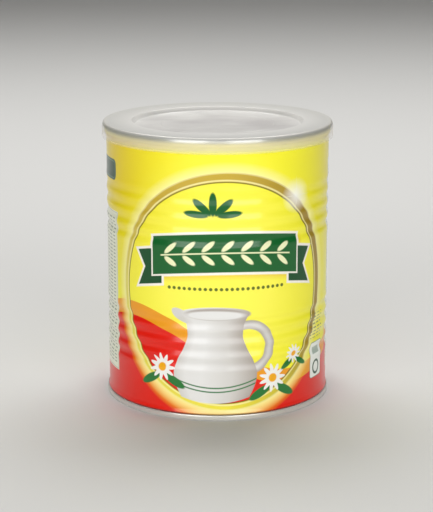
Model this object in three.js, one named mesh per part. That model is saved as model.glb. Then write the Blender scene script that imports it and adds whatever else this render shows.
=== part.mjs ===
// A shut tin of milk powder: a beaded steel can with a seamed ring at each end, a foil seal in its
// mouth and a push-on plastic lid. Millimetres, +Z up. The origin is the centre of the circle that
// the can stands on, and the front of the print faces -Y.
import * as THREE from "three";

const SEGMENTS = 56; // steps round the axis of every turned piece
const FOLD_STEPS = 2; // steps in each rounded edge of a seam
const FIT_GAP = 0.3; // clearance left between pieces that touch on the real tin

// The can as a whole
const BODY_RADIUS = 49.5;
const TIN_HEIGHT = 123.8; // up to the top face of the lid's rim

// The double seams, where an end and the body are folded into each other
const BASE_SEAM_HEIGHT = 2.4;
const BASE_SEAM_RADIUS = 50.35;
const TOP_SEAM_HEIGHT = 3.0;
const TOP_SEAM_RADIUS = 50.15;
const SEAM_THICKNESS = 1.45;
const SEAM_FOLD_RADIUS = 0.45; // round edges of the folded metal
const SHEET = 0.4; // thickness that the ends are given
const BODY_FLARE = 0.45; // how far the wall opens where it runs into a seam
const BODY_FLARE_HEIGHT = 2.6;
const FLARE_STEPS = 4;

// The base end: a panel sunk inside its seam, with a countersink groove round it
const BASE_COUNTERSINK_DEPTH = 3.4;
const BASE_PANEL_DEPTH = 2.5;
const BASE_COUNTERSINK_WIDTH = 1.6;
const BASE_STEP_RADIUS = 37.0; // a pressed step in the panel, which lets it flex
const BASE_STEP_HEIGHT = 0.5;

// The beads rolled into the wall, in two groups: the height of the lowest groove of a group, the
// distance between grooves, the depth of each groove below the plain wall from the lowest up, and
// how far the ridges beside the grooves stand proud of it
const LOWER_BEADS = { first: 24.9, pitch: 6.08, depths: [0.48, 0.48, 0.48, 0.46], ridge: 0.16 };
const UPPER_BEADS = { first: 79.4, pitch: 6.1, depths: [0.56, 0.44, 0.36, 0.26], ridge: 0.12 };
const STEPS_PER_BEAD = 4;

// The lid: a flat rim round a sunk panel, a rounded corner and a skirt that snaps under the seam
const LID_WALL = 0.85;
const LID_RADIUS = 51.25;
const LID_SKIRT_HEIGHT = 6.85;
const LID_SKIRT_FLARE = 0.15;
const LID_CORNER = 1.0;
const LID_RECESS_RADIUS = 37.9; // where the rim ends
const LID_RECESS_DEPTH = 1.9;
const LID_RECESS_SLOPE = 1.0; // how much narrower the panel is than the mouth of its recess
const LID_EDGE = 0.45; // rounding where the rim turns down into the recess
const LID_SNAP = 0.5; // how far the snap bead stands in from the skirt
const LID_SNAP_HEIGHT = 1.1;

// The mouth: a steel ring with a rolled inner edge, closed by a foil membrane stuck under it
const RING_MOUTH_RADIUS = 43.0;
const RING_CURL_RADIUS = 0.7;
const RING_DROP = 2.9; // from the top of the seam down to the ring's flat underside
const FOIL_THICKNESS = 0.3;
const FOIL_RADIUS = 46.6;

// Heights that follow from those sizes
const LID_UNDERSIDE = TIN_HEIGHT - LID_WALL;
const TOP_SEAM_TOP = LID_UNDERSIDE - FIT_GAP;
const TOP_SEAM_BOTTOM = TOP_SEAM_TOP - TOP_SEAM_HEIGHT;
const RING_UNDERSIDE = TOP_SEAM_TOP - RING_DROP;
const FOIL_TOP = RING_UNDERSIDE - FIT_GAP;
const CONTENTS_TOP = FOIL_TOP - FOIL_THICKNESS - FIT_GAP;

// Points of an arc in the (radius, height) plane. Angles in degrees: 0 points outwards, 90 up.
function arc(centreRadius, centreHeight, radius, from, to, steps) {
  return Array.from({ length: steps + 1 }, (_, i) => {
    const angle = THREE.MathUtils.degToRad(from + ((to - from) * i) / steps);
    return [centreRadius + radius * Math.cos(angle), centreHeight + radius * Math.sin(angle)];
  });
}

// A smooth hump: 1 at its centre, 0 from halfWidth on.
function hump(distance, halfWidth) {
  const share = Math.min(Math.abs(distance) / halfWidth, 1);
  return 0.5 * (1 + Math.cos(Math.PI * share));
}

// How far a group of beads moves the wall in or out at a height.
function beadOffset(beads, height) {
  const halfPitch = beads.pitch / 2;
  let offset = beads.ridge * hump(height - (beads.first - halfPitch), halfPitch);
  beads.depths.forEach((depth, i) => {
    const groove = beads.first + beads.pitch * i;
    offset -= depth * hump(height - groove, halfPitch);
    offset += beads.ridge * hump(height - (groove + halfPitch), halfPitch);
  });
  return offset;
}

// The heights at which the wall's profile has a point, over one group of beads.
function beadHeights(beads) {
  const steps = STEPS_PER_BEAD * (beads.depths.length + 1);
  const start = beads.first - beads.pitch;
  return Array.from({ length: steps + 1 }, (_, i) => start + (i * beads.pitch) / STEPS_PER_BEAD);
}

// A closed solid turned round +Z from a profile of [radius, height] points. The profile runs from
// the axis, under the piece and up its outside, back to the axis.
function turned(name, profile, look) {
  const points = profile.map(([radius, height]) => new THREE.Vector2(radius, height));
  const geometry = new THREE.LatheGeometry(points, SEGMENTS);
  geometry.rotateX(Math.PI / 2);
  const mesh = new THREE.Mesh(geometry, new THREE.MeshStandardMaterial(look));
  mesh.name = name;
  return mesh;
}

// The printed steel body. The tin is shut and full, so it is solid between its two ends.
function tinBody() {
  const floor = BASE_COUNTERSINK_DEPTH + SHEET + FIT_GAP;
  const wallBottom = BASE_SEAM_HEIGHT + FIT_GAP;
  const wallTop = TOP_SEAM_BOTTOM - FIT_GAP;
  const insideBaseEnd = BASE_SEAM_RADIUS - SEAM_THICKNESS + FIT_GAP;
  const insideTopRing = TOP_SEAM_RADIUS - SEAM_THICKNESS - SHEET - FIT_GAP;
  const flare = (from, direction) =>
    Array.from({ length: FLARE_STEPS + 1 }, (_, i) => {
      const rise = (i * BODY_FLARE_HEIGHT) / FLARE_STEPS;
      return [BODY_RADIUS + BODY_FLARE * hump(rise, BODY_FLARE_HEIGHT), from + direction * rise];
    });
  const beads = [LOWER_BEADS, UPPER_BEADS].flatMap((group) =>
    beadHeights(group).map((height) => [BODY_RADIUS + beadOffset(group, height), height]),
  );
  return turned(
    "tin_body",
    [
      [0, floor],
      [insideBaseEnd - SHEET, floor],
      [insideBaseEnd, wallBottom],
      ...flare(wallBottom, 1),
      ...beads,
      ...flare(wallTop, -1).reverse(),
      [insideTopRing, wallTop],
      [insideTopRing, CONTENTS_TOP],
      [0, CONTENTS_TOP],
    ],
    { color: 0xf7ee52, roughness: 0.28, metalness: 0.1 },
  );
}

// The bare steel base end, seen as the bright band that the tin stands on.
function baseEnd() {
  const outer = BASE_SEAM_RADIUS;
  const inner = BASE_SEAM_RADIUS - SEAM_THICKNESS;
  const fold = SEAM_FOLD_RADIUS;
  const grooveInner = inner - BASE_COUNTERSINK_WIDTH;
  const panelEdge = grooveInner - (BASE_COUNTERSINK_DEPTH - BASE_PANEL_DEPTH);
  const stepEdge = BASE_STEP_RADIUS - BASE_STEP_HEIGHT;
  const stepDepth = BASE_PANEL_DEPTH - BASE_STEP_HEIGHT;
  return turned(
    "base_end",
    [
      [0, stepDepth],
      [stepEdge, stepDepth],
      [BASE_STEP_RADIUS, BASE_PANEL_DEPTH],
      [panelEdge, BASE_PANEL_DEPTH],
      [grooveInner, BASE_COUNTERSINK_DEPTH],
      [inner - SHEET, BASE_COUNTERSINK_DEPTH],
      ...arc(inner + fold, fold, fold, 180, 270, FOLD_STEPS),
      ...arc(outer - fold, fold, fold, 270, 360, FOLD_STEPS),
      ...arc(outer - fold, BASE_SEAM_HEIGHT - fold, fold, 0, 90, FOLD_STEPS),
      [inner, BASE_SEAM_HEIGHT],
      [inner - SHEET, BASE_COUNTERSINK_DEPTH + SHEET],
      [grooveInner, BASE_COUNTERSINK_DEPTH + SHEET],
      [panelEdge, BASE_PANEL_DEPTH + SHEET],
      [BASE_STEP_RADIUS, BASE_PANEL_DEPTH + SHEET],
      [stepEdge, stepDepth + SHEET],
      [0, stepDepth + SHEET],
    ],
    { color: 0xc8c8c4, roughness: 0.3, metalness: 0.9 },
  );
}

// The steel ring seamed on the top of the body, with the round mouth of the tin in it.
function topRing() {
  const outer = TOP_SEAM_RADIUS;
  const inner = TOP_SEAM_RADIUS - SEAM_THICKNESS;
  const fold = SEAM_FOLD_RADIUS;
  const curl = RING_CURL_RADIUS;
  const curlHeight = RING_UNDERSIDE + curl;
  const ringTop = RING_UNDERSIDE + SHEET;
  const profile = [
    [inner - SHEET, RING_UNDERSIDE],
    [inner, TOP_SEAM_BOTTOM],
    ...arc(outer - fold, TOP_SEAM_BOTTOM + fold, fold, 270, 360, FOLD_STEPS),
    ...arc(outer - fold, TOP_SEAM_TOP - fold, fold, 0, 90, FOLD_STEPS),
    ...arc(inner + fold, TOP_SEAM_TOP - fold, fold, 90, 180, FOLD_STEPS),
    [inner - SHEET, ringTop],
    [RING_MOUTH_RADIUS + 2 * curl, ringTop],
    ...arc(RING_MOUTH_RADIUS + curl, curlHeight, curl, 0, 270, 6),
  ];
  return turned("top_ring", [...profile, profile[0]], {
    color: 0xc4c4c0,
    roughness: 0.32,
    metalness: 0.9,
  });
}

// The foil membrane that keeps the powder fresh until the tin is opened.
function foilSeal() {
  return turned(
    "foil_seal",
    [
      [0, FOIL_TOP - FOIL_THICKNESS],
      [FOIL_RADIUS, FOIL_TOP - FOIL_THICKNESS],
      [FOIL_RADIUS, FOIL_TOP],
      [0, FOIL_TOP],
    ],
    { color: 0xcfd0cf, roughness: 0.35, metalness: 0.85 },
  );
}

// The milky see-through lid.
function lid() {
  const skirtBottom = TIN_HEIGHT - LID_SKIRT_HEIGHT;
  const flaredRadius = LID_RADIUS + LID_SKIRT_FLARE;
  const inside = LID_RADIUS - LID_WALL;
  const insideBottom = flaredRadius - LID_WALL;
  const panelTop = TIN_HEIGHT - LID_RECESS_DEPTH;
  const panelRadius = LID_RECESS_RADIUS - LID_RECESS_SLOPE;
  const innerCorner = 0.4;
  const snapTop = TOP_SEAM_BOTTOM - FIT_GAP;
  const snapMiddle = snapTop - LID_SNAP_HEIGHT / 2;
  const skirtEdge = LID_WALL / 2;
  return turned(
    "lid",
    [
      [0, panelTop - LID_WALL],
      [panelRadius, panelTop - LID_WALL],
      [LID_RECESS_RADIUS + LID_EDGE, LID_UNDERSIDE],
      ...arc(inside - innerCorner, LID_UNDERSIDE - innerCorner, innerCorner, 90, 0, 2),
      [inside, snapTop],
      [inside - LID_SNAP, snapMiddle],
      [inside, snapTop - LID_SNAP_HEIGHT],
      ...arc(insideBottom + skirtEdge, skirtBottom + skirtEdge, skirtEdge, 180, 360, 4),
      [LID_RADIUS, skirtBottom + LID_SKIRT_HEIGHT / 3],
      ...arc(LID_RADIUS - LID_CORNER, TIN_HEIGHT - LID_CORNER, LID_CORNER, 0, 90, 5),
      ...arc(LID_RECESS_RADIUS + LID_EDGE, TIN_HEIGHT - LID_EDGE, LID_EDGE, 90, 150, 3),
      [panelRadius, panelTop],
      [0, panelTop],
    ],
    { color: 0xe4e2dc, roughness: 0.35, metalness: 0, transparent: true, opacity: 0.6 },
  );
}

const tin = new THREE.Group();
tin.add(tinBody(), baseEnd(), topRing(), foilSeal(), lid());

export default tin;
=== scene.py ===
# %% [markdown]
# # A tin of milk powder
#
# The real object is a shut steel can, 99 mm across, with beads rolled into its wall, a bare seam
# round its foot, a glossy print and a milky plastic lid. The solids come packed from the part's
# CAD source. Here every visible piece gets its fine surface and its finish.

import math

import bmesh
import bpy
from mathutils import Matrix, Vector


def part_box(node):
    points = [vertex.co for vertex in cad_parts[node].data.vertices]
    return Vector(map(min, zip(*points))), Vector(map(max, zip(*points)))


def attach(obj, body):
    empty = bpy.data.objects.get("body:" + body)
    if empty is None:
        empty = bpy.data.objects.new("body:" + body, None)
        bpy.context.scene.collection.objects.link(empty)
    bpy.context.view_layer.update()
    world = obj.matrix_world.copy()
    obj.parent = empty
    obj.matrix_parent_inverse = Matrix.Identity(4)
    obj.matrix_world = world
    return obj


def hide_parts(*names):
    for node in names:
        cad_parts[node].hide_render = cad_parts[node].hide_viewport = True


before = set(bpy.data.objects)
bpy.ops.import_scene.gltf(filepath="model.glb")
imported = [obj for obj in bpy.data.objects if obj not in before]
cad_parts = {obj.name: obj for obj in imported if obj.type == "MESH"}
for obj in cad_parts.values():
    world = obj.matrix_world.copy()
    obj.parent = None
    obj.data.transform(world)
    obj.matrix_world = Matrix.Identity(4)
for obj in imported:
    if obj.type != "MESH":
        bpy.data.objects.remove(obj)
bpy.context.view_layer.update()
print("nodes:", sorted(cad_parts))

# %% [markdown]
# ## Sizes from the frame
#
# A piece that replaces a CAD solid has to stay inside it, so its sizes are read from the solids'
# own boxes. Only what a box can't tell, such as the roundness of an edge, is a number of its own.
# Blender works in metres, so sizes in millimetres are multiplied by MM.

# %% Sizes
MM = 0.001
FIT_GAP = 0.3 * MM  # what the solids leave between pieces that touch


def reach(node):
    """Radius, lowest and highest point of a turned node."""
    low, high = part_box(node)
    return (high.x - low.x) / 2, low.z, high.z


lid_radius, lid_bottom, lid_top = reach("lid")
flare_radius, wall_bottom, wall_top = reach("tin_body")
foot_radius = reach("base_end")[0]
ring_radius, ring_bottom, ring_top = reach("top_ring")
foil_radius, foil_bottom, foil_top = reach("foil_seal")
print("lid: radius %.2f mm, top at %.2f mm" % (lid_radius / MM, lid_top / MM))

# %% [markdown]
# ## Turning a profile
#
# Everything on the tin is round, so every piece starts as half a cross-section on the YZ plane: a
# chain of vertices joined by edges. Spin sweeps the chain round the axis, as a lathe does. A full
# spin merges its last step with its first, and where the chain starts or ends on the axis the
# copies of that vertex fall together, so doubles are removed there. After that the normals are
# recalculated, because spin doesn't know which side is out.
#
# The chain starts at the back of the tin, on +Y, so that the UV map can have its seam there.

# %% Turning tools
TURN_STEPS = 192
TINY = 1e-6  # metres; points closer than this are one


def arc(centre_radius, centre_height, radius, start, end, steps):
    """Points of an arc in the (radius, height) plane; 0 degrees points outwards and 90 up."""
    turns = [math.radians(start + (end - start) * i / steps) for i in range(steps + 1)]
    return [(centre_radius + radius * math.cos(t), centre_height + radius * math.sin(t)) for t in turns]


def turned(name, profile, closed=False):
    """An object turned round Z from a profile of (radius, height) points, in metres."""
    mesh = bmesh.new()
    chain = [mesh.verts.new((0, radius, height)) for radius, height in profile]
    edges = [mesh.edges.new(pair) for pair in zip(chain, chain[1:])]
    if closed:
        edges.append(mesh.edges.new((chain[-1], chain[0])))
    bmesh.ops.spin(
        mesh, geom=chain + edges, cent=(0, 0, 0), axis=(0, 0, 1), angle=2 * math.pi,
        steps=TURN_STEPS, use_merge=True, use_duplicate=False,
    )
    bmesh.ops.remove_doubles(mesh, verts=mesh.verts, dist=TINY)
    bmesh.ops.recalc_face_normals(mesh, faces=mesh.faces)
    for face in mesh.faces:
        face.smooth = True
    data = bpy.data.meshes.new(name)
    mesh.to_mesh(data)
    mesh.free()
    piece = bpy.data.objects.new(name, data)
    bpy.context.scene.collection.objects.link(piece)
    print(name, "has", len(data.polygons), "faces")
    return piece


def seat(piece, node, finish):
    """Put a piece in its CAD node's place, under the root body and with its own material."""
    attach(piece, "root")
    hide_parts(node)
    piece.data.materials.append(finish.material)


# %% [markdown]
# ## The wall and its beads
#
# A can's wall is thin sheet. Two groups of shallow grooves, the beads, are rolled into it to
# stiffen it. They are too large for a bump map, since they show in the outline, so they are in
# the profile: a raised cosine for each groove and a lower one for each ridge beside it.

# %% The beaded wall
WALL = 49.5 * MM
FLARE_HEIGHT = 2.6 * MM
FLARE_STEPS = 8
NECK_INSET = 1.2 * MM  # the wall's ends begin this far inside the foot seam
LOWER_TUCK = 0.8 * MM  # depth of the lower end in the foot seam
UPPER_TUCK = 1.2 * MM  # depth of the upper end under the ring
CREEP = 0.9 * FIT_GAP  # how far the wall runs on into the gap at each seam
LOWER_BEADS = dict(first=24.9, pitch=6.08, depths=(0.48, 0.48, 0.48, 0.46), ridge=0.16)
UPPER_BEADS = dict(first=79.4, pitch=6.1, depths=(0.56, 0.44, 0.36, 0.26), ridge=0.12)
STEPS_PER_BEAD = 12


def hump(distance, half_width):
    """1 at its centre, 0 from half_width on, smooth between."""
    return 0.5 * (1 + math.cos(math.pi * min(abs(distance) / half_width, 1)))


def bead_offset(beads, height):
    """How far, in mm, a group of beads moves the wall at a height in mm."""
    half = beads["pitch"] / 2
    offset = beads["ridge"] * hump(height - (beads["first"] - half), half)
    for i, depth in enumerate(beads["depths"]):
        groove = beads["first"] + beads["pitch"] * i
        offset -= depth * hump(height - groove, half)
        offset += beads["ridge"] * hump(height - (groove + half), half)
    return offset


def bead_stretch(beads):
    """Profile points over one group of beads."""
    steps = STEPS_PER_BEAD * (len(beads["depths"]) + 1)
    start = beads["first"] - beads["pitch"]
    heights = [start + i * beads["pitch"] / STEPS_PER_BEAD for i in range(steps + 1)]
    return [(WALL + bead_offset(beads, height) * MM, height * MM) for height in heights]


def flare(height, direction):
    """Profile points where the wall opens into a seam, from the seam on."""
    widest = flare_radius - WALL
    rises = [FLARE_HEIGHT * i / FLARE_STEPS for i in range(FLARE_STEPS + 1)]
    return [(WALL + widest * hump(rise, FLARE_HEIGHT), height + direction * rise) for rise in rises]


# %% The wall's profile
neck_radius = foot_radius - NECK_INSET
wall_profile = [(0, wall_bottom + LOWER_TUCK), (neck_radius, wall_bottom + LOWER_TUCK)]
wall_profile += flare(wall_bottom - CREEP, 1)
wall_profile += bead_stretch(LOWER_BEADS) + bead_stretch(UPPER_BEADS)
wall_profile += flare(wall_top + CREEP, -1)[::-1]
wall_profile += [(neck_radius, wall_top), (neck_radius, wall_top - UPPER_TUCK), (0, wall_top - UPPER_TUCK)]
wall = turned("printed_wall", wall_profile)

# %% [markdown]
# ## The foot
#
# The base end and the body are folded into each other in a double seam, the round bare band that
# the tin stands on. Inside it the end drops into a groove and comes back to a flat panel with one
# pressed step. The underside is worth its few rings, because the part is looked at from below too.

# %% The base end
FOLD = 0.45 * MM  # rounding of the folded metal
SEAM_THICKNESS = 1.45 * MM
SHEET = 0.4 * MM
GROOVE_DEPTH = 3.4 * MM
PANEL_DEPTH = 2.5 * MM
STEP_RADIUS = 37.0 * MM
STEP_HEIGHT = 0.5 * MM
GROOVE_WIDTH = 1.6 * MM
BEND = 0.4 * MM  # rounding at both ends of the groove's slope
FOLD_STEPS = 8
STEP_CURVE = [(-2.0, -1.0), (-1.4, -0.88), (-0.6, -0.12), (0.0, 0.0)]  # in heights of the step
GROOVE_SIDE = [(-1.0, 0.0), (-0.4, -0.2), (-0.12, -0.8)]  # its outer side, in mm from the seam

foot_inner = foot_radius - SEAM_THICKNESS
groove_inner = foot_inner - GROOVE_WIDTH
panel_edge = groove_inner - (GROOVE_DEPTH - PANEL_DEPTH)
seam_height = wall_bottom - FIT_GAP


def panel_side(lift):
    """The end's panel, from the axis out to its groove; lift raises it to the sheet's upper side."""
    profile = [(0, PANEL_DEPTH - STEP_HEIGHT + lift)]
    profile += [
        (STEP_RADIUS + x * STEP_HEIGHT, PANEL_DEPTH + z * STEP_HEIGHT + lift)
        for x, z in STEP_CURVE
    ]
    profile += [(panel_edge - BEND, PANEL_DEPTH + lift), (panel_edge, PANEL_DEPTH + 0.3 * BEND + lift)]
    profile += [(groove_inner - 0.5 * BEND, GROOVE_DEPTH - 0.25 * BEND + lift)]
    profile += [(groove_inner + 0.75 * BEND, GROOVE_DEPTH + lift)]
    return profile


# %% The foot's profile
foot_profile = panel_side(0)
foot_profile += [(foot_inner + x * MM, GROOVE_DEPTH + z * MM) for x, z in GROOVE_SIDE]
foot_profile += arc(foot_inner + FOLD, FOLD, FOLD, 180, 270, FOLD_STEPS)
foot_profile += arc(foot_radius - FOLD, FOLD, FOLD, 270, 360, FOLD_STEPS)
foot_profile += arc(foot_radius - FOLD, seam_height - FOLD, FOLD, 0, 90, FOLD_STEPS)
foot_profile += [(foot_inner, seam_height), (foot_inner - SHEET, GROOVE_DEPTH + SHEET)]
foot_profile += panel_side(SHEET)[::-1]
foot = turned("base_end_steel", foot_profile)

# %% [markdown]
# ## The mouth
#
# Under the lid a steel ring is seamed on the body, and a foil membrane closes it. Both are seen
# only as tones through the milky plastic, but without them the lid would look hollow.

# %% The ring and the foil
MOUTH_RADIUS = 43.0 * MM
CURL = 0.7 * MM
CURL_STEPS = 18

ring_inner = ring_radius - SEAM_THICKNESS
ring_under = foil_top + FIT_GAP
ring_profile = [(ring_inner - SHEET, ring_under), (ring_inner, ring_bottom)]
ring_profile += arc(ring_radius - FOLD / 2, ring_bottom + FOLD / 2, FOLD / 2, 270, 360, FOLD_STEPS)
ring_profile += arc(ring_radius - FOLD, ring_top - FOLD, FOLD, 0, 90, FOLD_STEPS)
ring_profile += arc(ring_inner + FOLD, ring_top - FOLD, FOLD, 90, 180, FOLD_STEPS)
ring_profile += [(ring_inner - SHEET, ring_under + SHEET), (MOUTH_RADIUS + 2 * CURL, ring_under + SHEET)]
ring_profile += arc(MOUTH_RADIUS + CURL, ring_under + CURL, CURL, 0, 270, CURL_STEPS)
ring = turned("top_ring_steel", ring_profile, closed=True)

foil_profile = [(0, foil_bottom), (foil_radius, foil_bottom), (foil_radius, foil_top), (0, foil_top)]
foil = turned("foil_membrane", foil_profile)

# %% [markdown]
# ## The lid
#
# The lid is one piece of moulded polyethylene: a flat rim round a sunk panel, a rounded shoulder and
# a skirt with a snap bead that grips under the seam. The shoulder is a quarter of an ellipse, higher
# than it is wide, so it catches the softboxes as a broad streak. The lid is see-through, so its
# inside is modelled as well.

# %% The lid
LID_WALL = 0.85 * MM
SKIRT_FLARE = 0.15 * MM
FLARE_CURVE = [(0.3, 1.6), (0.0, 3.0)]  # share of the flare, and height in mm over the lip
LIP_STEPS = 12
SHOULDER_WIDTH = 1.0 * MM
SHOULDER_HEIGHT = 2.4 * MM
SHOULDER_STEPS = 18
RECESS_RADIUS = 37.9 * MM
RECESS_DEPTH = 1.9 * MM
RECESS_SLOPE = 1.0 * MM
RECESS_EDGE = 0.45 * MM
RECESS_EDGE_STEPS = 6
RECESS_FOOT = [(0.15, 0.3), (-0.1, 0.06), (-0.5, 0.0)]  # where its slope meets the panel, in mm
INNER_CORNER = 0.4 * MM
INNER_STEPS = 5
SNAP = 0.5 * MM
SNAP_HEIGHT = 1.1 * MM
BEAD_STEPS = 8  # steps across the snap bead and across the moulded ring
MOULDED_RING_RADIUS = 25.5 * MM
MOULDED_RING_WIDTH = 2.0 * MM
MOULDED_RING_HEIGHT = 0.12 * MM

skirt_radius = lid_radius - SKIRT_FLARE
skirt_inner = skirt_radius - LID_WALL
underside = lid_top - LID_WALL
panel_top = lid_top - RECESS_DEPTH
panel_radius = RECESS_RADIUS - RECESS_SLOPE
snap_top = ring_bottom - FIT_GAP
half_wall = LID_WALL / 2
half_bead = BEAD_STEPS / 2

# %% Its inside, from the axis out to the lip
lid_profile = [(0, panel_top - LID_WALL), (panel_radius, panel_top - LID_WALL)]
lid_profile += [(RECESS_RADIUS + RECESS_EDGE, underside), (skirt_inner - 3 * INNER_CORNER, underside)]
lid_profile += arc(skirt_inner - INNER_CORNER, underside - INNER_CORNER, INNER_CORNER, 90, 0, INNER_STEPS)
lid_profile += [(skirt_inner, snap_top)]
lid_profile += [
    (skirt_inner - SNAP * hump(i - half_bead, half_bead), snap_top - SNAP_HEIGHT * i / BEAD_STEPS)
    for i in range(1, BEAD_STEPS + 1)
]
lid_profile += arc(lid_radius - half_wall, lid_bottom + half_wall, half_wall, 180, 360, LIP_STEPS)

# %% Its outside, from the lip back to the axis
lid_profile += [(skirt_radius + share * SKIRT_FLARE, lid_bottom + z * MM) for share, z in FLARE_CURVE]
lid_profile += [
    (skirt_radius - SHOULDER_WIDTH * (1 - x), lid_top - SHOULDER_HEIGHT * (1 - z))
    for x, z in arc(0, 0, 1, 0, 90, SHOULDER_STEPS)
]
lid_profile += [(skirt_radius - 1.3 * SHOULDER_WIDTH, lid_top)]
lid_profile += [(RECESS_RADIUS + 1.3 * RECESS_EDGE, lid_top)]
lid_profile += arc(
    RECESS_RADIUS + RECESS_EDGE, lid_top - RECESS_EDGE, RECESS_EDGE, 90, 150, RECESS_EDGE_STEPS,
)
lid_profile += [(panel_radius + x * MM, panel_top + z * MM) for x, z in RECESS_FOOT]
lid_profile += [
    (
        MOULDED_RING_RADIUS + MOULDED_RING_WIDTH * (0.5 - i / BEAD_STEPS),
        panel_top + MOULDED_RING_HEIGHT * hump(i - half_bead, half_bead),
    )
    for i in range(BEAD_STEPS + 1)
]
lid_profile += [(0, panel_top)]
lid = turned("plastic_lid", lid_profile)

# %% [markdown]
# ## Writing shader maths as Python
#
# A procedural print needs some hundreds of Math nodes. Wired by hand they can't be read, so one
# small class wraps a socket: adding or multiplying two wires adds a Math node and gives back a
# wire. Everything else comes from one method of the finish, which takes a node's type, its
# settings and what goes into its sockets.

# %% Colours as a screen shows them
def srgb(red, green, blue):
    """A colour given as a screen shows it, 0 to 255, as the linear colour that shaders use."""
    def linear(value):
        share = value / 255
        return share / 12.92 if share <= 0.04045 else ((share + 0.055) / 1.055) ** 2.4
    return (linear(red), linear(green), linear(blue), 1.0)


# %% A socket that can be calculated with
class Wire:
    """A socket whose arithmetic adds Math nodes to its material."""

    def __init__(self, finish, socket):
        self.finish = finish
        self.socket = socket

    def math(self, operation, *values, clamp=False):
        settings = {"operation": operation, "use_clamp": clamp}
        return self.finish.node("ShaderNodeMath", settings, dict(enumerate(values)))

    def __add__(self, other):
        return self.math("ADD", self, other)

    def __radd__(self, other):
        return self.math("ADD", other, self)

    def __sub__(self, other):
        return self.math("SUBTRACT", self, other)

    def __rsub__(self, other):
        return self.math("SUBTRACT", other, self)

    def __mul__(self, other):
        return self.math("MULTIPLY", self, other)

    def __rmul__(self, other):
        return self.math("MULTIPLY", other, self)

    def __truediv__(self, other):
        return self.math("DIVIDE", self, other)

    def __mod__(self, period):
        return self.math("FLOORED_MODULO", self, period)

    def __abs__(self):
        return self.math("ABSOLUTE", self)

    def root(self):
        return self.math("SQRT", self)

    def cosine(self):
        return self.math("COSINE", self)

    def at_least(self, other):
        return self.math("MAXIMUM", self, other)

    def at_most(self, other):
        return self.math("MINIMUM", self, other)


# %% A material with one way to add a node
MIX_FACTOR, MIX_FIRST, MIX_SECOND, MIX_RESULT = 0, 6, 7, 2  # sockets of a Mix node set to colours


class Finish:
    """A material, its Principled shader, and the one way to add a node."""

    def __init__(self, name, **constants):
        self.material = bpy.data.materials.new(name)
        self.material.use_nodes = True
        self.tree = self.material.node_tree
        self.shader = self.tree.nodes["Principled BSDF"]
        for socket, value in constants.items():
            self.shader.inputs[socket.replace("_", " ")].default_value = value

    def node(self, kind, settings, inputs, output=0):
        made = self.tree.nodes.new(kind)
        for name, value in settings.items():
            if name == "stops":
                self.set_stops(made.color_ramp, value)
            else:
                setattr(made, name, value)
        for socket, value in inputs.items():
            if isinstance(value, Wire):
                self.tree.links.new(value.socket, made.inputs[socket])
            else:
                made.inputs[socket].default_value = value
        return Wire(self, made.outputs[output])

    def set_stops(self, ramp, stops):
        while len(ramp.elements) < len(stops):
            ramp.elements.new(1.0)
        for element, (place, colour) in zip(ramp.elements, stops):
            element.position = place
            element.color = colour

    def ramp(self, place, stops):
        """Colours along a place from 0 to 1."""
        return self.node("ShaderNodeValToRGB", {"stops": stops}, {"Fac": place})

    def place(self):
        """Object coordinates in millimetres, as three wires."""
        spot = self.node("ShaderNodeTexCoord", {}, {}, "Object")
        scaled = self.node("ShaderNodeVectorMath", {"operation": "SCALE"}, {0: spot, "Scale": 1 / MM})
        apart = self.node("ShaderNodeSeparateXYZ", {}, {0: scaled}).socket.node
        return [Wire(self, apart.outputs[axis]) for axis in "XYZ"]

    def feed(self, socket, wire):
        self.tree.links.new(wire.socket, self.shader.inputs[socket])

    def mix(self, first, second, cover):
        """The first colour where the cover is 0, the second where it is 1."""
        inputs = {MIX_FACTOR: cover, MIX_FIRST: first, MIX_SECOND: second}
        return self.node("ShaderNodeMix", {"data_type": "RGBA"}, inputs, MIX_RESULT)

    def noise(self, scale, detail=2.0, stretch=(1, 1, 1)):
        """Noise on Object coordinates, 0 to 1, with that many bumps a metre."""
        place = self.node("ShaderNodeTexCoord", {}, {}, "Object")
        stretched = self.node("ShaderNodeMapping", {}, {"Vector": place, "Scale": stretch})
        return self.node("ShaderNodeTexNoise", {}, {"Vector": stretched, "Scale": scale, "Detail": detail})

    def bump(self, height, distance, strength=1.0):
        """Feed the shader's Normal with a relief that is distance metres deep."""
        inputs = {"Height": height, "Distance": distance, "Strength": strength}
        self.feed("Normal", self.node("ShaderNodeBump", {}, inputs, "Normal"))


# %% [markdown]
# ## Coordinates of the print
#
# A print is designed flat and wrapped round the can. The shader does the reverse: from a point's
# Object coordinates it works out u, the distance round the can from the middle of the front, and
# v, the height, both in millimetres. The front design is repeated on the back, so the design has
# its own coordinate x, which counts from the middle of the nearer medallion.
#
# Every shape is a distance in millimetres, negative inside it. A distance becomes a mask with an
# edge as soft as is wanted, and masks lay one colour over another, as inks are laid in a press.

# %% Flat coordinates
WALL_MM = WALL / MM
HALF_TURN = math.pi * WALL_MM
MIDDLE = 4.0  # the medallion's middle, to the right of the front
FINE_EDGE, PRINT_EDGE, SOFT_EDGE = 0.25, 0.3, 0.4  # mm over which the edge of a shape fades

print_finish = Finish(
    "printed_tinplate", Roughness=0.36, Specular_IOR_Level=0.12, Coat_Weight=0.65, Coat_Roughness=0.17,
)
east, north, v = print_finish.place()
u = WALL_MM * east.math("ARCTAN2", east, -1.0 * north)
x = (u + (HALF_TURN / 2 - MIDDLE)) % HALF_TURN - HALF_TURN / 2
spot = print_finish.node("ShaderNodeCombineXYZ", {}, {"X": x, "Y": v})


def mask(distance, softness=0.15):
    """1 inside a shape and 0 outside it, with an edge softness mm wide."""
    return distance.math("MULTIPLY_ADD", distance, -1 / softness, 0.5, clamp=True)


# %% Shapes as distances
def box(along, across, half_length, half_height):
    """Distance to a box round the place where along and across are 0."""
    return (abs(along) - half_length).at_least(abs(across) - half_height)


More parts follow.
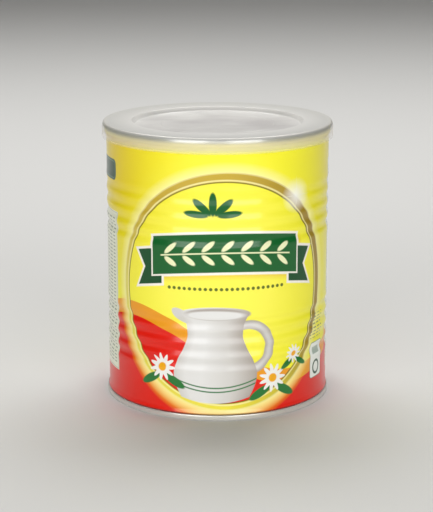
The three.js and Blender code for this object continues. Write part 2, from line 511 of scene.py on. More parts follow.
def rounded_box(along, across, half_length, half_height, radius):
    """The same with round corners."""
    aside = (abs(along) - (half_length - radius)).at_least(0.0)
    above = (abs(across) - (half_height - radius)).at_least(0.0)
    return (aside * aside + above * above).root() - radius


def ellipse(centre, radii, place=spot):
    """Distance to an ellipse, true on its edge and good enough near it."""
    scale = (1 / radii[0], 1 / radii[1], 0)
    offset = (-centre[0] / radii[0], -centre[1] / radii[1], 0)
    inputs = {0: place, 1: scale, 2: offset}
    scaled = print_finish.node("ShaderNodeVectorMath", {"operation": "MULTIPLY_ADD"}, inputs)
    length = print_finish.node("ShaderNodeVectorMath", {"operation": "LENGTH"}, {0: scaled}, "Value")
    return (length - 1.0) * min(radii)


def tilted_ellipse(across, up, centre, radii, degrees):
    """Distance to an ellipse turned by some degrees, in the coordinates across and up."""
    turn = math.radians(degrees)
    aside = across - centre[0]
    above = up - centre[1]
    along = aside * (math.cos(turn) / radii[0]) + above * (math.sin(turn) / radii[0])
    over = above * (math.cos(turn) / radii[1]) - aside * (math.sin(turn) / radii[1])
    return ((along * along + over * over).root() - 1.0) * min(radii)


# %% [markdown]
# ## The fields of the print
#
# The ground is lemon yellow, a little more golden towards the upper left. A red field lies at the
# foot and an orange band above it, with one long wave for an edge: its period is half a turn, so
# it meets itself all round the can.

# %% Ground, orange band and red field
LEMON = srgb(247, 240, 42)
PALE_LEMON = srgb(250, 243, 88)
GOLDEN = srgb(236, 208, 8)
ORANGE = srgb(236, 156, 30)
RED = srgb(224, 27, 9)
WARM_PLACE = -64.0
WARM_HEIGHT = 112.0
WARM_REACH = 34.0
WARM_FADE = 50.0
PALE_MIDDLE = (-4.0, 60.0)
PALE_RADII = (38.0, 44.0)
PALE_FADE = 30.0
PALE_STRENGTH = 0.8
WAVE_HEIGHT = 28.5
WAVE_SWING = 14.5
WAVE_CREST = -46.0
ORANGE_WIDTH = 6.3

warm_side = ((x - WARM_PLACE) * (2 * math.pi / HALF_TURN)).cosine() * 0.5 + 0.5
warmth = warm_side * warm_side * mask(abs(v - WARM_HEIGHT) - WARM_REACH, WARM_FADE)
ground = print_finish.mix(LEMON, GOLDEN, warmth)
pale = mask(ellipse(PALE_MIDDLE, PALE_RADII), PALE_FADE) * PALE_STRENGTH
ground = print_finish.mix(ground, PALE_LEMON, pale)
wave = ((x - WAVE_CREST) * (2 * math.pi / HALF_TURN)).cosine() * WAVE_SWING + WAVE_HEIGHT
artwork = print_finish.mix(ground, ORANGE, mask(v - wave - ORANGE_WIDTH))
artwork = print_finish.mix(artwork, RED, mask(v - wave))

# %% [markdown]
# ## The medallion
#
# A gold oval frames the front. Two ellipses with centres a little apart make a ring that swells
# towards the right, as a drawn frame does. Its gold follows the angle round the oval, through a
# colour ramp, so that it seems to catch light from one side. Round it lies a glow, which turns to
# fire where it crosses the red field. Inside it runs a fine dark line, and a soft glint sits on its
# shoulder.

# %% The gold oval
GOLD_PALE = srgb(224, 212, 96)
GOLD_YELLOW = srgb(238, 224, 66)
GOLD_DARK = srgb(158, 130, 36)
GOLD_WARM = srgb(196, 166, 54)
GOLD_EDGE = srgb(250, 243, 170)
GLOW = srgb(252, 246, 172)
FIRE_GLOW = srgb(250, 190, 40)
OLIVE = srgb(92, 80, 18)
GLINT = srgb(255, 255, 246)
OVAL_MIDDLE = 56.8
OUTER_RADII = (51.0, 52.4)
INNER_MIDDLE = (-0.7, 56.3)
INNER_RADII = (47.4, 48.8)
FIRE_REACH = 3.6
FIRE_EDGE = 4.0  # how softly the fire ends on the orange band
GLOW_REACH = 2.0
GLOW_FADE = 5.0
GLOW_STRENGTH = 0.85
GOLD_STOPS = [
    (0.0, GOLD_PALE), (0.25, GOLD_YELLOW), (0.42, GOLD_DARK), (0.6, GOLD_DARK),
    (0.75, GOLD_WARM), (0.88, GOLD_WARM), (1.0, GOLD_PALE),
]

oval_outer = ellipse((0.0, OVAL_MIDDLE), OUTER_RADII)
oval_inner = ellipse(INNER_MIDDLE, INNER_RADII)
outside_oval = mask(-1.0 * oval_inner)
fire = mask(oval_outer - FIRE_REACH, GLOW_FADE) * mask(v - wave - ORANGE_WIDTH, FIRE_EDGE) * outside_oval
artwork = print_finish.mix(artwork, FIRE_GLOW, fire)
glow = mask(oval_outer - GLOW_REACH, GLOW_FADE) * outside_oval * GLOW_STRENGTH
artwork = print_finish.mix(artwork, GLOW, glow)
oval_turn = x.math("ARCTAN2", v - OVAL_MIDDLE, x) / (2 * math.pi) + 0.5
gold = print_finish.ramp(oval_turn, GOLD_STOPS)
artwork = print_finish.mix(artwork, gold, mask(oval_outer.at_least(-1.0 * oval_inner), PRINT_EDGE))

# %% The fine lines along its edges
OVAL_LINES = [  # colour, edge that it follows, offset, half width, softness, strength
    (GOLD_EDGE, oval_outer, -0.2, 0.2, 0.5, 0.7),
    (OLIVE, oval_inner, -0.1, 0.25, 0.3, 0.85),
    (GOLD_EDGE, oval_inner, 0.7, 0.35, 0.35, 0.75),
]

for colour, edge, offset, half_width, softness, strength in OVAL_LINES:
    line = mask(abs(edge - offset) - half_width, softness) * strength
    artwork = print_finish.mix(artwork, colour, line)

# %% The glint on its shoulder
GLINT_PLACE = (33.0, 96.8)
GLINT_RADIUS = 4.0
GLINT_FADE = 8.0
RAY_LENGTH = 6.8
RAY_TAPER = 6.0  # how fast a ray gets thin
RAY_FADE = 2.6
RAY_STRENGTH = 0.8

glint_across = x - GLINT_PLACE[0]
glint_up = v - GLINT_PLACE[1]
glint_reach = (glint_across * glint_across + glint_up * glint_up).root()
off_ray = abs(glint_across).at_most(abs(glint_up))
glint_rays = off_ray * RAY_TAPER + (glint_reach - RAY_LENGTH) * 0.5
rays = mask(glint_rays, RAY_FADE) * RAY_STRENGTH
glint = mask(glint_reach - GLINT_RADIUS, GLINT_FADE).at_least(rays)

# %% [markdown]
# ## The jug and the daisies
#
# A white jug of milk stands in the lower half, with a few daisies. The jug's sides are one cosine
# of the height, which gives belly, neck and lip, and its shade runs from side to side as a share
# of its width, so that it looks round.

# %% The jug
JUG_MIDDLE = -5.0
JUG_FOOT = 10.0
JUG_LIP = 47.5
JUG_HALF = 15.2  # half its width, without the swing between belly and neck
JUG_SWING = 3.2
JUG_BELLY = 20.0
JUG_WAVE = 38.0  # height from one belly to the next, if the cosine ran on
SOLE_CURVE = 0.011
SOLE_DROP = 2.4
MOUTH_RADII = (15.4, 3.2)
MILK_RADII = (12.6, 2.0)
SPOUT_PLACE = (-14.2, -1.2)  # from the middle of the mouth
SPOUT_RADII = (5.6, 2.4)
SPOUT_TILT = 150
HANDLE_HEIGHT = 32.5
HANDLE_OUTER = (15.0, (11.5, 12.0))  # how far right of the jug's middle, and radii
HANDLE_INNER = (14.2, (8.0, 8.2))
HANDLE_ROUNDING = 0.9
STRIPE_HEIGHT = 6.0
STRIPE_APART = 0.9
STRIPE_HALF = 0.3
MILK_WHITE = srgb(224, 223, 220)
JUG_LIGHT = srgb(208, 205, 200)
JUG_SHADE = srgb(172, 163, 155)
JUG_LINE = srgb(60, 120, 70)
JUG_STOPS = [(0.0, JUG_LIGHT), (0.14, MILK_WHITE), (0.34, MILK_WHITE), (0.7, JUG_LIGHT), (1.0, JUG_SHADE)]

jug_x = x - JUG_MIDDLE
jug_half = ((v - JUG_BELLY) * (2 * math.pi / JUG_WAVE)).cosine() * JUG_SWING + JUG_HALF
jug_sole = (jug_x * jug_x) * SOLE_CURVE + (JUG_FOOT - SOLE_DROP)
jug_body = (abs(jug_x) - jug_half).at_least(v - JUG_LIP).at_least(jug_sole - v)
jug_mouth = ellipse((JUG_MIDDLE, JUG_LIP), MOUTH_RADII)
spout_middle = (JUG_MIDDLE + SPOUT_PLACE[0], JUG_LIP + SPOUT_PLACE[1])
jug_spout = tilted_ellipse(x, v, spout_middle, SPOUT_RADII, SPOUT_TILT)
jug_shape = jug_body.at_most(jug_mouth).at_most(jug_spout)
handle_outer, handle_inner = [
    ellipse((JUG_MIDDLE + aside, HANDLE_HEIGHT), radii) for aside, radii in (HANDLE_OUTER, HANDLE_INNER)
]
handle = handle_outer.at_least(-1.0 * handle_inner)
jug_colour = print_finish.ramp((jug_x / jug_half) * 0.5 + 0.5, JUG_STOPS)
stripes = abs(abs(v - jug_sole - STRIPE_HEIGHT) - STRIPE_APART) - STRIPE_HALF
milk = ellipse((JUG_MIDDLE, JUG_LIP - 0.5), MILK_RADII)
artwork = print_finish.mix(artwork, JUG_SHADE, mask(handle, SOFT_EDGE))
artwork = print_finish.mix(artwork, JUG_LIGHT, mask(handle + HANDLE_ROUNDING, 1.6))
artwork = print_finish.mix(artwork, jug_colour, mask(jug_shape, FINE_EDGE))
artwork = print_finish.mix(artwork, JUG_LINE, mask(stripes, PRINT_EDGE) * mask(jug_body, FINE_EDGE))
artwork = print_finish.mix(artwork, JUG_SHADE, mask(jug_mouth + 0.5, 0.5))
artwork = print_finish.mix(artwork, MILK_WHITE, mask(milk, 0.5))

# %% Daisies
PETAL = srgb(240, 239, 234)
DAISY_HEART = srgb(240, 170, 20)
LEAF = srgb(38, 116, 52)
DAISIES = [(-29.0, 22.5, 1.25), (21.0, 17.5, 1.3), (32.5, 26.5, 0.85)]  # middle x and v, and size
PETALS = 11
PETAL_REACH = 3.9  # this and the next five for a daisy of size 1
PETAL_SWING = 1.1
HEART_RADIUS = 1.5
LEAF_ASIDE = 4.6
LEAF_LENGTH = 4.4
LEAF_WIDTH = 1.5
LEAF_TILT = -30

for across, up, size in DAISIES:
    leaf_place = (LEAF_ASIDE * size, up - LEAF_ASIDE * size)
    leaf_radii = (LEAF_LENGTH * size, LEAF_WIDTH * size)
    leaves = tilted_ellipse(abs(x - across), v, leaf_place, leaf_radii, LEAF_TILT)
    artwork = print_finish.mix(artwork, LEAF, mask(leaves, PRINT_EDGE))
    aside = x - across
    above = v - up
    distance = (aside * aside + above * above).root()
    turn = aside.math("ARCTAN2", above, aside)
    petals = distance - (turn * PETALS).cosine() * (PETAL_SWING * size) - PETAL_REACH * size
    artwork = print_finish.mix(artwork, PETAL, mask(petals, 0.35))
    artwork = print_finish.mix(artwork, DAISY_HEART, mask(distance - HEART_RADIUS * size, SOFT_EDGE))

# %% [markdown]
# ## The ribbon
#
# A plain green ribbon crosses the medallion. It is a bent box: the height is measured from an
# arch. Its tails are darker and end in a notch. A white edge and a soft shadow lift it off the
# ground, and a garland of leaf pairs runs along it: one pair, repeated by a modulo.

# %% The ribbon and its garland
RIBBON_MIDDLE = 74.5
RIBBON_HALF = 8.4
RIBBON_LENGTH = 33.5
GREEN = srgb(12, 94, 38)
GREEN_DARK = srgb(6, 74, 34)
SHADOW = srgb(226, 176, 60)
EDGE_WHITE = srgb(244, 240, 228)
GARLAND = srgb(236, 238, 190)
ARCH = 0.0026
TAIL_DROP = 4.6  # the tails hang this much lower than the band
TAIL_START = 29.0
TAIL_END = 37.6
TAIL_HALF = 7.8
NOTCH = 0.5
SHADOW_SHIFT = (1.2, -1.6)
SHADOW_GROWTH = 1.0
LEAF_PITCH = 8.4
LEAF_PAIRS = 7
GARLAND_LEAF = ((0.4, 2.9), (3.3, 1.15), 38)  # middle, radii and tilt
STEM_HALF = 0.3

rise = v - RIBBON_MIDDLE + (x * x) * ARCH
band = box(x, rise, RIBBON_LENGTH, RIBBON_HALF)
tail_rise = abs(rise + TAIL_DROP)
tail_reach = abs(x)
tail = (tail_rise - TAIL_HALF).at_least(tail_reach - tail_rise * NOTCH - TAIL_END)
tail = tail.at_least(TAIL_START - tail_reach)
shadow = box(
    x - SHADOW_SHIFT[0], rise - SHADOW_SHIFT[1], RIBBON_LENGTH + SHADOW_GROWTH, RIBBON_HALF + SHADOW_GROWTH,
)
artwork = print_finish.mix(artwork, SHADOW, mask(shadow, 2.4) * 0.5)
artwork = print_finish.mix(artwork, EDGE_WHITE, mask(band.at_most(tail) - 1.1, SOFT_EDGE))
artwork = print_finish.mix(artwork, GREEN_DARK, mask(tail, FINE_EDGE))
artwork = print_finish.mix(artwork, EDGE_WHITE, mask(band - 0.7, PRINT_EDGE))
artwork = print_finish.mix(artwork, GREEN, mask(band, FINE_EDGE))
leaf_x = (x + LEAF_PITCH / 2) % LEAF_PITCH - LEAF_PITCH / 2
garland = tilted_ellipse(leaf_x, abs(rise), *GARLAND_LEAF).at_most(abs(rise) - STEM_HALF)
garland = garland.at_least(abs(x) - LEAF_PITCH * LEAF_PAIRS / 2)
artwork = print_finish.mix(artwork, GARLAND, mask(garland, PRINT_EDGE))

# %% A sprig above it
SPRIG_MIDDLE = -6.0
SPRIG_FOOT = 90.5
SPRIG_LEAVES = [  # middle from the sprig's foot, radii and tilt
    ((0.0, 5.0), (5.2, 1.7), 90),
    ((4.6, 3.6), (5.2, 1.7), 42),
    ((7.2, 0.6), (5.4, 1.5), 6),
]

sprig_side = abs(x - SPRIG_MIDDLE)
sprig_up = v - SPRIG_FOOT
leaf_up, leaf_middle, leaf_low = [tilted_ellipse(sprig_side, sprig_up, *leaf) for leaf in SPRIG_LEAVES]
sprig = leaf_up.at_most(leaf_middle).at_most(leaf_low)
artwork = print_finish.mix(artwork, GREEN, mask(sprig, PRINT_EDGE))

# %% A row of beads below it
BEAD_ROW = 58.6
BEAD_PITCH = 2.3
BEAD_RADIUS = 0.75
BEADS = 23
BEAD_GREEN = srgb(96, 112, 30)

bead_x = (x + BEAD_PITCH / 2) % BEAD_PITCH - BEAD_PITCH / 2
bead_up = v - BEAD_ROW
beads_line = (bead_x * bead_x + bead_up * bead_up).root() - BEAD_RADIUS
beads_line = beads_line.at_least(abs(x) - BEAD_PITCH * BEADS / 2)
artwork = print_finish.mix(artwork, BEAD_GREEN, mask(beads_line, PRINT_EDGE))

# %% [markdown]
# ## The side panels
#
# Between the two medallions a food tin has its panels: cream ones with rows of fine dashes, a title
# bar over the left one, and a small plaque with a ring. The dashes are one dash, repeated by a
# modulo in both directions.

# %% Panels and title bar
CREAM = srgb(230, 233, 210)
DASH = srgb(96, 116, 92)
BAR = srgb(22, 70, 42)
BAR_EDGE = srgb(84, 122, 96)
PLAQUE = srgb(238, 242, 234)
LEFT_PANEL = (-75.0, 50.5, 21.0, 36.0)  # middle, then half its width and height, for each box
RIGHT_PANEL = (84.5, 60.0, 15.5, 48.0)
TITLE_BAR = (-75.0, 105.0, 20.4, 4.6)
PLAQUE_BOX = (53.6, 20.0, 5.2, 8.0)
PLAQUE_BAR = (53.6, 24.2, 3.0, 1.6)
PLAQUE_RING = ((53.6, 16.4), (2.7, 2.9))  # middle and radii
NOTES = (54.0, 35.6, 5.4, 5.6)
TITLE_RADIUS = 2.4
PLAQUE_RADIUS = 1.2
SIDE_MARGIN = 2.4
FOOT_MARGIN = 2.8
PANEL_DASH = 5.2
NOTE_DASH = 3.6
DASH_PITCH = 1.6
DASH_SHARE = 0.36
DASH_HALF = 0.26


def from_middle(place):
    """The four arguments of a box: where a point lies from its middle, and its half sizes."""
    middle_u, middle_v, half_u, half_v = place
    return u - middle_u, v - middle_v, half_u, half_v


def dashes(place, length):
    """Rows of dashes that fill a box; length is a dash with the space after it, in mm."""
    aside, above, half_u, half_v = from_middle(place)
    dash = box(
        aside % length - length / 2, above % DASH_PITCH - DASH_PITCH / 2, length * DASH_SHARE, DASH_HALF,
    )
    return dash.at_least(box(aside, above, half_u, half_v))


for place in (LEFT_PANEL, RIGHT_PANEL):
    panel = box(*from_middle(place))
    artwork = print_finish.mix(artwork, CREAM, mask(panel, PRINT_EDGE))
    artwork = print_finish.mix(artwork, DASH, mask(abs(panel + 0.6) - 0.15, PRINT_EDGE) * 0.5)
    rows = dashes((*place[:2], place[2] - SIDE_MARGIN, place[3] - FOOT_MARGIN), PANEL_DASH)
    artwork = print_finish.mix(artwork, DASH, mask(rows, PRINT_EDGE) * 0.8)
title_bar = rounded_box(*from_middle(TITLE_BAR), TITLE_RADIUS)
artwork = print_finish.mix(artwork, BAR, mask(title_bar, PRINT_EDGE))
artwork = print_finish.mix(artwork, BAR_EDGE, mask(abs(title_bar + 0.9) - 0.3, SOFT_EDGE) * 0.8)

# %% Notes and plaque
artwork = print_finish.mix(artwork, DASH, mask(dashes(NOTES, NOTE_DASH), PRINT_EDGE) * 0.8)
plaque = rounded_box(*from_middle(PLAQUE_BOX), PLAQUE_RADIUS)
artwork = print_finish.mix(artwork, DASH, mask(plaque - 0.3, PRINT_EDGE))
artwork = print_finish.mix(artwork, PLAQUE, mask(plaque, PRINT_EDGE))
around = print_finish.node("ShaderNodeCombineXYZ", {}, {"X": u, "Y": v})
artwork = print_finish.mix(artwork, BAR, mask(abs(ellipse(*PLAQUE_RING, around)) - 0.5, PRINT_EDGE))
artwork = print_finish.mix(artwork, BAR_EDGE, mask(box(*from_middle(PLAQUE_BAR)), SOFT_EDGE) * 0.6)

# %% [markdown]
# ## The finish of the print
#
# Glossy lacquer over ink on steel: a Principled shader without metal, with a coat. Sheet steel is
# never quite flat after it has been rolled, so a very low, wide bump lets the reflections waver.

# %% Print and wall
WELD_MIDDLE = 102.5
WELD_HALF = 1.8
WELD_GREY = srgb(190, 190, 186)
# Painted shade: the print turns dark red-brown at its foot, where the wall goes into the foot seam.
CREVICE_SHADE = srgb(70, 26, 18)
CREVICE_SHADE_HEIGHT = 3.0

artwork = print_finish.mix(artwork, GLINT, glint * 0.92)
# painted shade at the foot of the wall
artwork = print_finish.mix(artwork, CREVICE_SHADE, mask(v - CREVICE_SHADE_HEIGHT, 0.5) * 0.7)
weld = mask(abs(u - WELD_MIDDLE) - WELD_HALF, 0.3)
artwork = print_finish.mix(artwork, WELD_GREY, weld)
print_finish.feed("Base Color", artwork)
print_finish.feed("Metallic", weld * 0.9)
print_finish.bump(print_finish.noise(60.0, stretch=(1, 1, 0.5)), 0.6 * MM, 0.15)
seat(wall, "tin_body", print_finish)
print("the print has", len(print_finish.tree.nodes), "nodes")

# %% [markdown]
# ## The wall unrolled
#
# In Blender the print needs no map, since it is worked out from coordinates. A model that leaves
# Blender carries its print as an image, and an image needs one. A can unrolls like paper, so the
# wall gets its own UV map in place of an automatic one: the front half is the lower row of the
# image and the back half the upper one, and the two ends lie in thin strips above them.

# %% Unrolling
UV_NAME = "OFBake"
ROW_STARTS = (0.005, 0.475)
ROW_HEIGHT = 0.455
END_STARTS = (0.945, 0.975)
END_HEIGHT = 0.02
MARGIN = 0.004
END_ROOM = 2.0 * MM  # spare room beside the widest end
ROW_ROOM = 1.0 * MM  # and above and below the wall
FOOT_REACH = 1.0 * MM  # faces of the ends lie within this of the foot
TOP_REACH = 1.3 * MM  # and within this of the top


def turn_of(place):
    """The turn round the can in half turns: 0 at the front, 1 at the back."""
    return math.atan2(place.x, -place.y) / math.pi


def unroll(piece, bottom, top, neck):
    """A UV map in which a can's wall is flat; neck is the radius where its ends begin."""
    mesh = bmesh.new()
    mesh.from_mesh(piece.data)
    layer = mesh.loops.layers.uv.new(UV_NAME)
    for face in mesh.faces:
        middle = face.calc_center_median()
        middle_turn = turn_of(middle)
        narrowest = min(math.hypot(vert.co.x, vert.co.y) for vert in face.verts)
        on_side = bottom + FOOT_REACH < middle.z < top - TOP_REACH
        is_end = narrowest <= neck + TINY and not on_side
        upper = middle.z > (bottom + top) / 2
        is_back = abs(middle_turn) > 0.5
        for loop in face.loops:
            reach_here = math.hypot(loop.vert.co.x, loop.vert.co.y)
            turn = turn_of(loop.vert.co) if reach_here > TINY else middle_turn
            turn += 2 * round((middle_turn - turn) / 2)
            if is_end:
                rim = top - UPPER_TUCK if upper else bottom + LOWER_TUCK
                share = (reach_here + abs(loop.vert.co.z - rim)) / (flare_radius + END_ROOM)
                across = turn / 2 + 0.5
                up = END_STARTS[upper] + END_HEIGHT * share
            else:
                row_turn = (middle_turn - 0.5) % 2 if is_back else middle_turn + 0.5
                share = (loop.vert.co.z - bottom + ROW_ROOM) / (top - bottom + 2 * ROW_ROOM)
                across = row_turn + turn - middle_turn
                up = ROW_STARTS[is_back] + ROW_HEIGHT * share
            loop[layer].uv = (MARGIN + (1 - 2 * MARGIN) * across, up)
    mesh.to_mesh(piece.data)
    mesh.free()
    print(piece.name, "is unrolled into", piece.data.uv_layers[0].name)


unroll(wall, wall_bottom, wall_top, neck_radius)

# %% [markdown]
# ## Bare metals
#
# Tinplate is bright but not a mirror: fine lines from rolling run round the seam, and its
# roughness varies in patches where it has been handled. The ring in the mouth has the golden
# lacquer that can makers put on the steel next to food.

# %% Steel
STEEL = (srgb(222, 220, 214), srgb(238, 236, 230))  # the darker and the lighter tone of each metal
LACQUERED = (srgb(246, 232, 56), srgb(250, 238, 76))
FOIL = (srgb(208, 208, 206), srgb(232, 232, 230))
PATCHES = 40.0  # patches a metre, in tone
HANDLING = 90.0  # and in roughness
ROLLING = 900.0  # rolled lines a metre

steel_finish = Finish("bare_tinplate", Metallic=0.75)
steel_finish.feed("Roughness", steel_finish.noise(HANDLING, 4.0) * 0.15 + 0.24)
steel_finish.feed("Base Color", steel_finish.mix(*STEEL, steel_finish.noise(PATCHES)))
steel_finish.bump(steel_finish.noise(ROLLING, stretch=(0.1, 0.1, 3)), 0.04 * MM, 0.35)
seat(foot, "base_end", steel_finish)

# %% Lacquered ring
# Painted shade: the top of the seam, under the lid's shoulder, is a darker, duller gold.
SEAM_SHADE = srgb(220, 209, 88)
SHADE_DEPTH = 1.3  # mm below the top of the seam

lacquer_finish = Finish("lacquered_tinplate", Metallic=0.6)
lacquer_finish.feed("Roughness", lacquer_finish.noise(HANDLING, 4.0) * 0.15 + 0.3)
lacquer_tone = lacquer_finish.mix(*LACQUERED, lacquer_finish.noise(PATCHES))
ring_v = lacquer_finish.place()[2]
# painted shade on the top of the seam
seam_shade = mask(ring_top / MM - ring_v - SHADE_DEPTH, 0.9)
lacquer_finish.feed("Base Color", lacquer_finish.mix(lacquer_tone, SEAM_SHADE, seam_shade))
seat(ring, "top_ring", lacquer_finish)

# %% Foil
foil_finish = Finish("foil", Metallic=0.9, Roughness=0.35)
foil_finish.feed("Base Color", foil_finish.mix(*FOIL, foil_finish.noise(60.0)))
foil_finish.bump(foil_finish.noise(110.0, 5.0), 1.0 * MM, 0.6)
seat(foil, "foil_seal", foil_finish)

# %% [markdown]
# ## Milky plastic
#
# Thin polyethylene lets most light through but scatters it. A true volume would be slow and noisy,
# so the shell is partly transparent instead: its alpha decides how much of the can shows through,
# and the milky rest is an ordinary satin surface. Only the shoulder is polished, as it is where a
# lid leaves its mould. The shoulder, the skirt, the outer rim and the slope of the sunk panel are
# painted darker than the rest: painted shade.

# %% How much shows through the lid
LID_TOP, LID_BOTTOM = lid_top / MM, lid_bottom / MM
HAZE = [(0.0, 0.1), (0.1, 0.28), (0.4, 0.42), (0.6, 0.5), (0.78, 0.72), (1.0, 0.88)]  # up the skirt
TOP_HAZE = 0.78
TOP_EDGE = 49.8  # mm from the axis to where the skirt's shoulder begins
INSIDE_RADIUS = 50.8  # what lies nearer to the axis and below the shoulder is the skirt's inside
INSIDE_DEPTH = 0.7

lid_finish = Finish("lid_plastic", Roughness=0.32, IOR=1.51, Coat_Roughness=0.16, Coat_IOR=1.7)
lid_x, lid_y, lid_z = lid_finish.place()
lid_reach = (lid_x * lid_x + lid_y * lid_y).root()
haze_stops = [(place, (haze, haze, haze, 1.0)) for place, haze in HAZE]
skirt_haze = lid_finish.ramp((lid_z - LID_BOTTOM) / (LID_TOP - LID_BOTTOM), haze_stops)
on_top = mask(lid_reach - TOP_EDGE, 1.2)
inside = mask(lid_reach - INSIDE_RADIUS, 0.3) * mask(lid_z - LID_TOP + INSIDE_DEPTH, 0.3)
skirt_haze = skirt_haze * (1.0 - inside * 0.9)
lid_finish.feed("Alpha", skirt_haze + on_top * (TOP_HAZE - skirt_haze))

# %% Tones of the lid, and its painted shade
PLASTIC = srgb(246, 244, 239)
PLASTIC_DEEP = srgb(220, 216, 213)
CORNER_SHADE = srgb(196, 197, 193)
SLOPE_SHADE = srgb(146, 144, 142)
SKIRT_TONE = srgb(236, 231, 222)
PANEL_EDGE = 36.4
SLOPE_MIDDLE = 37.3
SLOPE_HALF = 0.5
SLOPE_SIDES = 0.42  # share of the radius at which the slope's shade ends, to the left and right
RIM_INNER = 43.5
RIM_FADE = 9.0

# Painted shade: the slope down to the sunk panel is darker at the front and back of the lid, fading out to
# the left and right.
slope_band = mask(abs(lid_reach - SLOPE_MIDDLE) - SLOPE_HALF, 1.4)
slope_band = slope_band * mask(SLOPE_SIDES - abs(lid_y) / (RECESS_RADIUS / MM), 0.4)
patches = lid_finish.noise(36.0, 3.0, stretch=(1, 1.6, 1))
recess_tone = lid_finish.mix(PLASTIC_DEEP, PLASTIC, mask(0.5 - patches, 0.3))
# Painted shade: the skirt is a slightly darker grey than the top.
lid_tone = lid_finish.mix(SKIRT_TONE, PLASTIC, on_top)
lid_tone = lid_finish.mix(lid_tone, recess_tone, mask(lid_reach - PANEL_EDGE, 1.2))
lid_tone = lid_finish.mix(lid_tone, SLOPE_SHADE, slope_band * 0.6)
# Painted shade: the top's outer rim grows darker towards its edge.
rim_painted_shade = mask(RIM_INNER - lid_reach, RIM_FADE) * 0.4
lid_tone = lid_finish.mix(lid_tone, CORNER_SHADE, rim_painted_shade * on_top)

# %% Gloss and painted shade on its shoulder
GLOSS_AND_SHADE_DEPTH = 1.3  # mm from the lid's top to the middle of the shoulder
GLOSS_AND_SHADE_HALF = 1.1

gloss_and_shade_band = mask(abs(lid_z - LID_TOP + GLOSS_AND_SHADE_DEPTH) - GLOSS_AND_SHADE_HALF, 1.4) * (1.0 - on_top)
# Painted shade: the shoulder's colour is a darker grey than the rest of the lid.
lid_finish.feed("Base Color", lid_finish.mix(lid_tone, CORNER_SHADE, gloss_and_shade_band))
lid_finish.feed("Metallic", gloss_and_shade_band * 0.26)
lid_finish.feed("Coat Weight", gloss_and_shade_band * 0.85 + 0.1)
lid_finish.bump(lid_finish.noise(120.0, 3.0), 0.2 * MM, 0.15)
seat(lid, "lid", lid_finish)

# %% [markdown]
# ## The set
#
# A pale table and a pale wall behind, in one swept sheet, as in a product photograph. It isn't
# part of the object.

# %% Floor and backdrop
SWEEP_RADIUS = 0.9
BACK = 2.8
FRONT = -9.0
WIDTH = 9.0
WALL_TOP = 2.2
BEND_STEPS = 15

sweep_mesh = bmesh.new()
bend = arc(BACK - SWEEP_RADIUS, SWEEP_RADIUS, SWEEP_RADIUS, 270, 360, BEND_STEPS)
sweep_line = [(FRONT, 0.0), *bend, (BACK, WALL_TOP)]
edge_verts = [sweep_mesh.verts.new((-WIDTH / 2, y, z)) for y, z in sweep_line]
edge_lines = [sweep_mesh.edges.new(pair) for pair in zip(edge_verts, edge_verts[1:])]
pulled = bmesh.ops.extrude_edge_only(sweep_mesh, edges=edge_lines)
pulled_verts = [g for g in pulled["geom"] if isinstance(g, bmesh.types.BMVert)]
bmesh.ops.translate(sweep_mesh, verts=pulled_verts, vec=(WIDTH, 0, 0))
bmesh.ops.recalc_face_normals(sweep_mesh, faces=sweep_mesh.faces)
for face in sweep_mesh.faces:
    face.smooth = True
sweep_data = bpy.data.meshes.new("sweep")
sweep_mesh.to_mesh(sweep_data)
sweep_mesh.free()
sweep = bpy.data.objects.new("sweep", sweep_data)
bpy.context.scene.collection.objects.link(sweep)
paper = Finish("paper_sweep", Roughness=0.75, Base_Color=srgb(208, 207, 204))
sweep_data.materials.append(paper.material)

# %% [markdown]
# ## Light
#
# Two tall softboxes stand left and right of the camera. They give the two soft upright streaks on
# the wall, and a small fill between them keeps its middle bright. A third one hangs above and
# behind, so it lights the lid but not the wall. Nothing stands at the sides: the wall falls off
# towards its edges there, and the pale table shows in the lower slopes of the beads.

# %% Softboxes
SOFTBOXES = {  # azimuth, elevation, distance, width, height, power
    "softbox_left": (-28, 10, 2.6, 1.5, 1.8, 39),
    "softbox_right": (28, 10, 2.6, 1.5, 1.8, 37),
    "front_fill": (0, 10, 2.6, 1.4, 1.2, 8.6),
    "back_light": (180, 62, 1.5, 1.6, 0.8, 24),
}


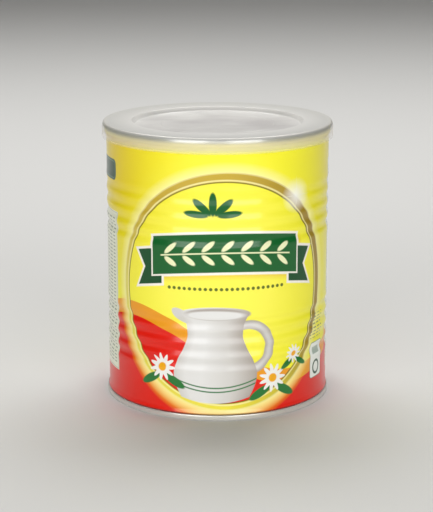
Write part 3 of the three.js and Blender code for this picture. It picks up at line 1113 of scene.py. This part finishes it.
def softbox(name, azimuth, elevation, distance, width, height, power):
    """An area light on a sphere round the tin, turned to its middle. Azimuth 0 is the camera's side."""
    light = bpy.data.lights.new(name, "AREA")
    light.shape = "RECTANGLE"
    light.size = width
    light.size_y = height
    light.energy = power
    lamp = bpy.data.objects.new(name, light)
    side, up = math.radians(azimuth), math.radians(elevation)
    place = Vector((math.sin(side) * math.cos(up), -math.cos(side) * math.cos(up), math.sin(up)))
    middle = Vector((0, 0, lid_top / 2))
    lamp.location = middle + place * distance
    lamp.rotation_euler = place.to_track_quat("Z", "Y").to_euler()
    bpy.context.scene.collection.objects.link(lamp)


for box_name, box_values in SOFTBOXES.items():
    softbox(box_name, *box_values)
print("lights:", len(SOFTBOXES))

# %% Room and view
ROOM_STRENGTH = 0.06

world = bpy.data.worlds.new("room")
bpy.context.scene.world = world
world.use_nodes = True
room = world.node_tree.nodes["Background"].inputs
room["Color"].default_value = (1, 1, 1, 1)
room["Strength"].default_value = ROOM_STRENGTH
scene = bpy.context.scene
scene.view_settings.view_transform = "Standard"
scene.view_settings.look = "None"
scene.cycles.use_denoising = True

# %% [markdown]
# ## The camera
#
# The picture was taken from a little above, through a long lens. Where the camera stood follows
# from the tin's circles: how open the ellipses of the lid and of the foot are gives its height and
# distance, and the tin's size in the picture gives the lens.

# %% Camera
CAMERA_DISTANCE = 0.7384
CAMERA_HEIGHT = 0.2427
CAMERA_PITCH = 13.81
PICTURE_HEIGHT = 512
FOCAL_PIXELS = 1677.1
AXIS_OFFSET = 1.06  # how many pixels right of the middle the tin's axis lies
SENSOR_WIDTH = 36.0

camera_data = bpy.data.cameras.new("camera")
camera_data.sensor_width = SENSOR_WIDTH
camera_data.lens = SENSOR_WIDTH * FOCAL_PIXELS / PICTURE_HEIGHT
camera = bpy.data.objects.new("camera", camera_data)
camera.location = (0, -CAMERA_DISTANCE, CAMERA_HEIGHT)
camera.rotation_euler = (math.radians(90 - CAMERA_PITCH), 0, math.atan(AXIS_OFFSET / FOCAL_PIXELS))
scene.collection.objects.link(camera)
scene.camera = camera
print("lens %.1f mm" % camera_data.lens)
